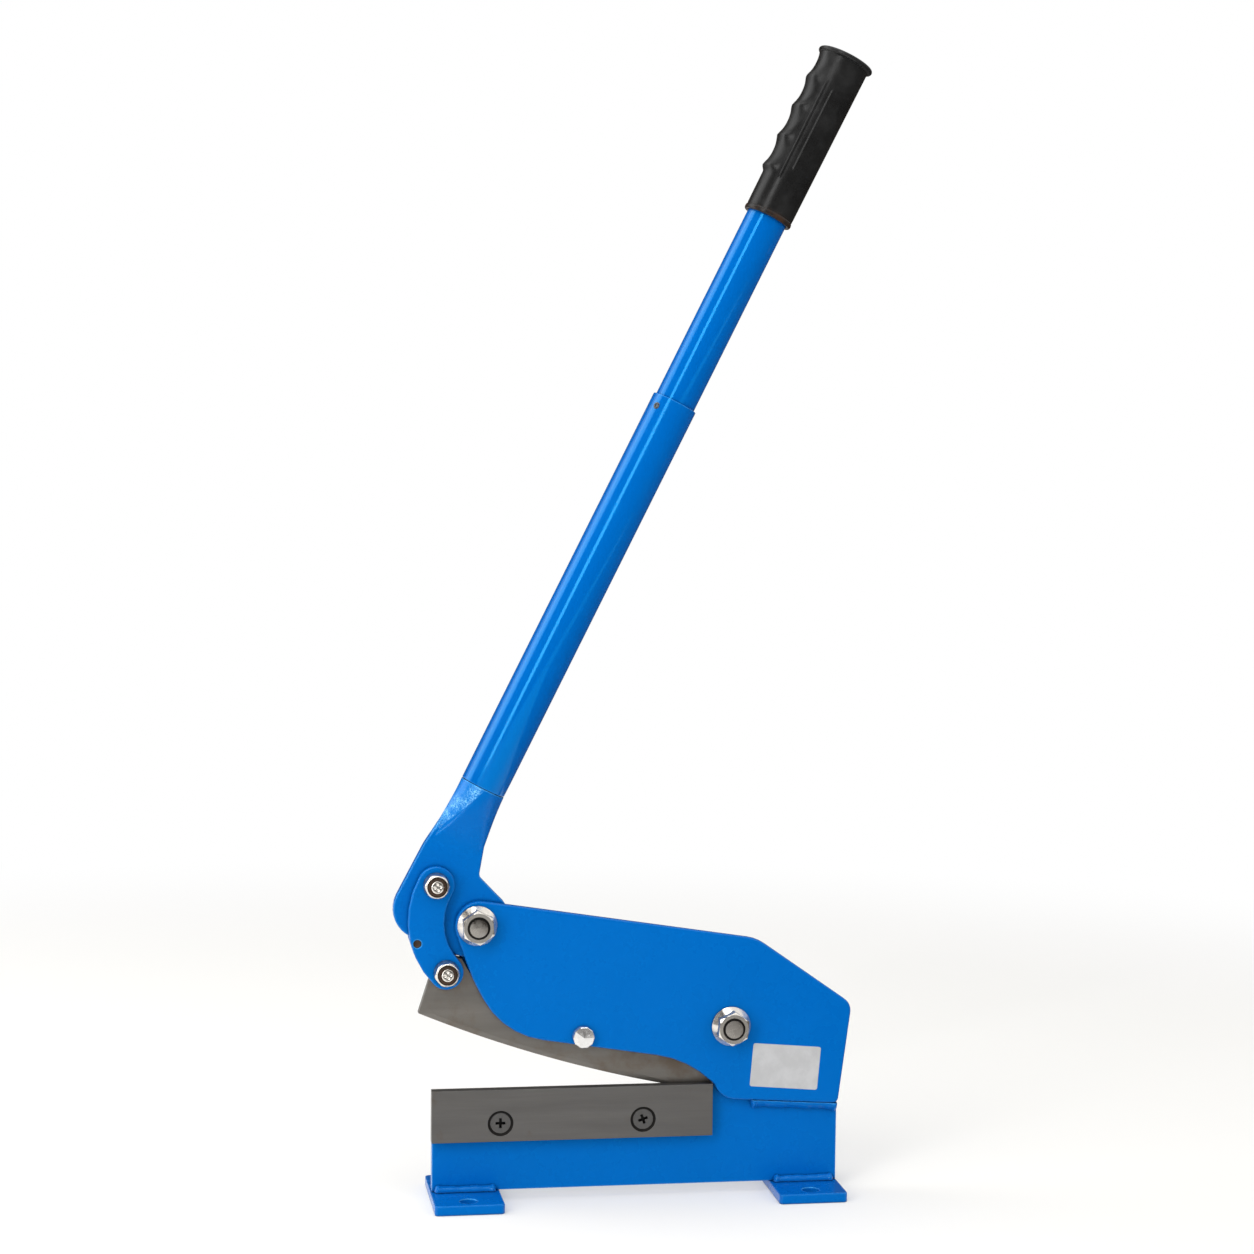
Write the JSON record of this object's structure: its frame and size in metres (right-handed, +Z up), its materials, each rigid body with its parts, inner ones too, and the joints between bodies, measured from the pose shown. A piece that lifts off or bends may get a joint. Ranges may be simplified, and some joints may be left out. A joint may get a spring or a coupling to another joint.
{
  "type": "bench plate shear",
  "caption": "Hand-operated bench plate shear with a lever, curved links, a pivoting upper blade and a fixed straight lower blade.",
  "frame": {"origin": "centre of the left foot's underside", "axes": "+Z up, +X along the blades from the left foot towards the blade pivot, +Y to the rear, away from the lower blade's side"},
  "size_m": [0.3344, 0.083, 0.8145],
  "materials": {
    "blue_paint": "semi-gloss",
    "lever_paint": "semi-gloss over a rough forging",
    "tube_paint": "gloss",
    "lower_blade_steel": "ground",
    "upper_blade_steel": "ground, slightly stained",
    "bright_zinc": "bright plated",
    "bolt_end_steel": "satin",
    "turned_bright_steel": "turned",
    "dark_screw_steel": "blackened",
    "bush_steel": "turned",
    "black_rubber": "moulded, satin"
  },
  "bodies": {
    "frame": {"base_plate": "blue_paint", "left_foot": "blue_paint", "right_foot": "blue_paint", "left_foot_weld_front": "blue_paint", "left_foot_weld_rear": "blue_paint", "right_foot_weld_front": "blue_paint", "right_foot_weld_rear": "blue_paint", "side_plate_weld_front": "blue_paint", "side_plate_weld_rear": "blue_paint", "front_side_plate": "blue_paint", "rear_side_plate": "blue_paint", "lower_blade": "lower_blade_steel", "lower_blade_screw_left": "dark_screw_steel", "lower_blade_screw_right": "dark_screw_steel", "lower_blade_nut_left": "bright_zinc", "lower_blade_nut_right": "bright_zinc", "lever_pivot_bolt": "bolt_end_steel", "lever_pivot_nut": "bright_zinc", "lever_pivot_bush": "bush_steel", "blade_pivot_bolt": "bolt_end_steel", "blade_pivot_nut": "bright_zinc", "blade_pivot_bush": "bush_steel", "guide_screw": "turned_bright_steel"},
    "lever": {"lever_head": "lever_paint", "outer_tube": "tube_paint", "inner_tube": "tube_paint", "tube_lock_screw": "dark_screw_steel", "grip": "black_rubber"},
    "upper_blade": {"upper_blade": "upper_blade_steel"},
    "links": {"front_link": "blue_paint", "rear_link": "blue_paint", "link_bolt_crank": "bright_zinc", "link_nut_crank": "bright_zinc", "link_bolt_blade": "bright_zinc", "link_nut_blade": "bright_zinc"}
  },
  "joints": [
    {"name": "lever_hinge", "type": "hinge", "parent": "frame", "child": "lever", "pos_m": [0.0068, 0, 0.1972], "axis": [0, -1, 0], "range_deg": [0, 90]},
    {"name": "blade_hinge", "type": "hinge", "parent": "frame", "child": "upper_blade", "pos_m": [0.1885, 0, 0.1218], "axis": [0, -1, 0], "range_deg": [0, 16.5]},
    {"name": "link_hinge", "type": "hinge", "parent": "upper_blade", "child": "links", "pos_m": [-0.01449, 0, 0.16413], "axis": [0, -1, 0], "range_deg": [-20, 0]}
  ],
  "couplings": [
    {"joint": "blade_hinge", "follows": "lever_hinge", "ratio": 0.17872},
    {"joint": "link_hinge", "follows": "lever_hinge", "ratio": -0.21752}
  ]
}
